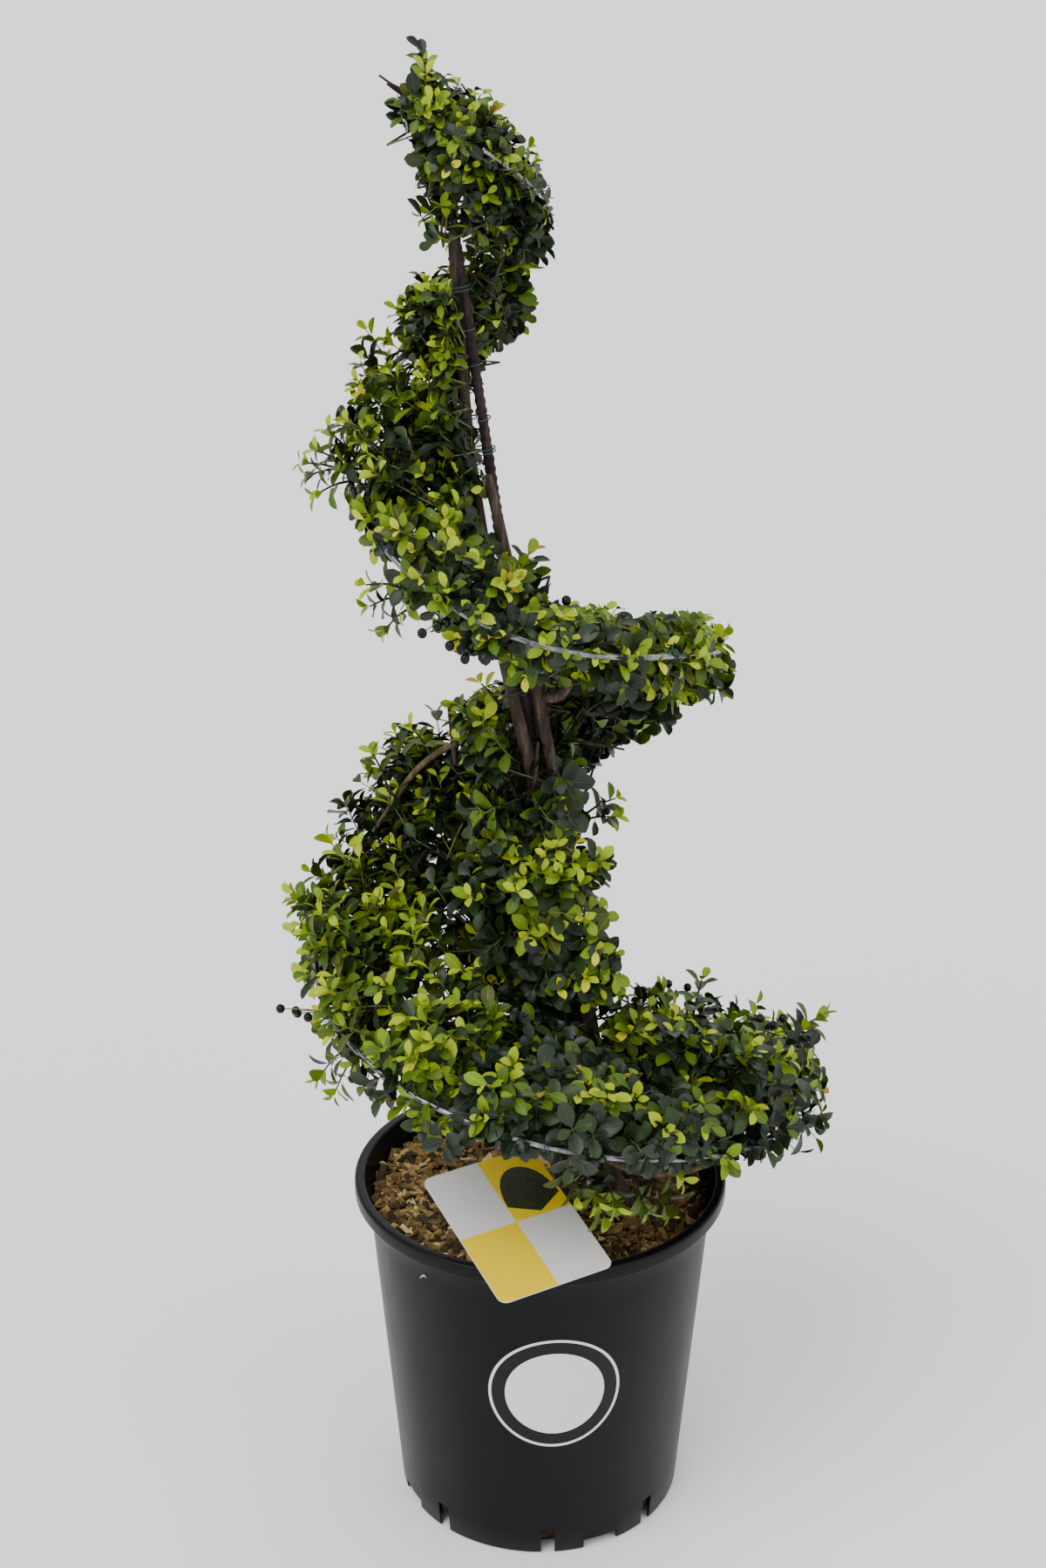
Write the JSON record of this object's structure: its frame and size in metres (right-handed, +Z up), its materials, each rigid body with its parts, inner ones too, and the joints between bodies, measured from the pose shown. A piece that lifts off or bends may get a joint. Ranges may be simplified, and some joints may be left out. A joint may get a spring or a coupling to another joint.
{
  "type": "potted japanese holly trained as a spiral",
  "caption": "Japanese holly trained as a leafy spiral round a wire frame, with twined stems, in a plain black plastic pot.",
  "frame": {"origin": "centre of the pot's flat underside", "axes": "+Z up; the plant's front, with the label card and the sticker, faces -Y; +X is to the right seen from the front"},
  "size_m": [0.4274, 0.3674, 1.1387],
  "materials": {
    "pot_plastic": "black moulded plastic with a slight sheen, lighter where worn at the lip",
    "bark_and_peat": "loose brown bark chips over dark peat",
    "label_board": "white label board with yellow fields, slightly glossy",
    "galvanised_wire": "galvanised wire with bright streaks",
    "holly_bark": "rough dark brown bark, ridged and fibrous",
    "holly_leaves": "small glossy leaves, dark when old and yellow green when young"
  },
  "bodies": {
    "root": {"pot": "pot_plastic", "soil": "bark_and_peat", "label_card": "label_board", "training_wire_1": "galvanised_wire", "training_wire_2": "galvanised_wire", "training_wire_3": "galvanised_wire", "training_wire_4": "galvanised_wire", "training_wire_5": "galvanised_wire", "training_wire_6": "galvanised_wire", "training_wire_7": "galvanised_wire", "training_wire_8": "galvanised_wire", "training_wire_9": "galvanised_wire", "training_wire_leg": "galvanised_wire", "leader_stem": "holly_bark", "side_stem_1": "holly_bark", "side_stem_2": "holly_bark", "side_stem_3": "holly_bark", "side_stem_4": "holly_bark", "bough_lower_right_back": "holly_bark", "bough_lower_right": "holly_bark", "bough_lower_right_front": "holly_bark", "bough_lower_front": "holly_bark", "bough_lower_left_front": "holly_bark", "bough_lower_left": "holly_bark", "bough_lower_left_back": "holly_bark", "bough_lower_back": "holly_bark", "bough_middle_right_back": "holly_bark", "bough_middle_right": "holly_bark", "bough_middle_right_front": "holly_bark", "bough_middle_front": "holly_bark", "bough_middle_left": "holly_bark", "foliage_lower_right_back": "holly_leaves", "foliage_lower_right": "holly_leaves", "foliage_lower_right_front": "holly_leaves", "foliage_lower_front": "holly_leaves", "foliage_lower_left_front": "holly_leaves", "foliage_lower_left": "holly_leaves", "foliage_lower_left_back": "holly_leaves", "foliage_lower_back": "holly_leaves", "foliage_middle_right_back": "holly_leaves", "foliage_middle_right": "holly_leaves", "foliage_middle_right_front": "holly_leaves", "foliage_middle_front": "holly_leaves", "foliage_middle_left": "holly_leaves", "foliage_upper_left_back": "holly_leaves", "foliage_upper_back": "holly_leaves", "foliage_upper_right": "holly_leaves", "foliage_top_front": "holly_leaves", "foliage_top_tip": "holly_leaves", "foliage_stem_front_low": "holly_leaves", "foliage_stem_front_high": "holly_leaves", "foliage_stem_right_low": "holly_leaves", "foliage_stem_right_high": "holly_leaves", "foliage_stem_back_low": "holly_leaves", "foliage_stem_left_high": "holly_leaves", "foliage_stem_upper_left": "holly_leaves", "foliage_stem_top": "holly_leaves"}
  },
  "joints": []
}
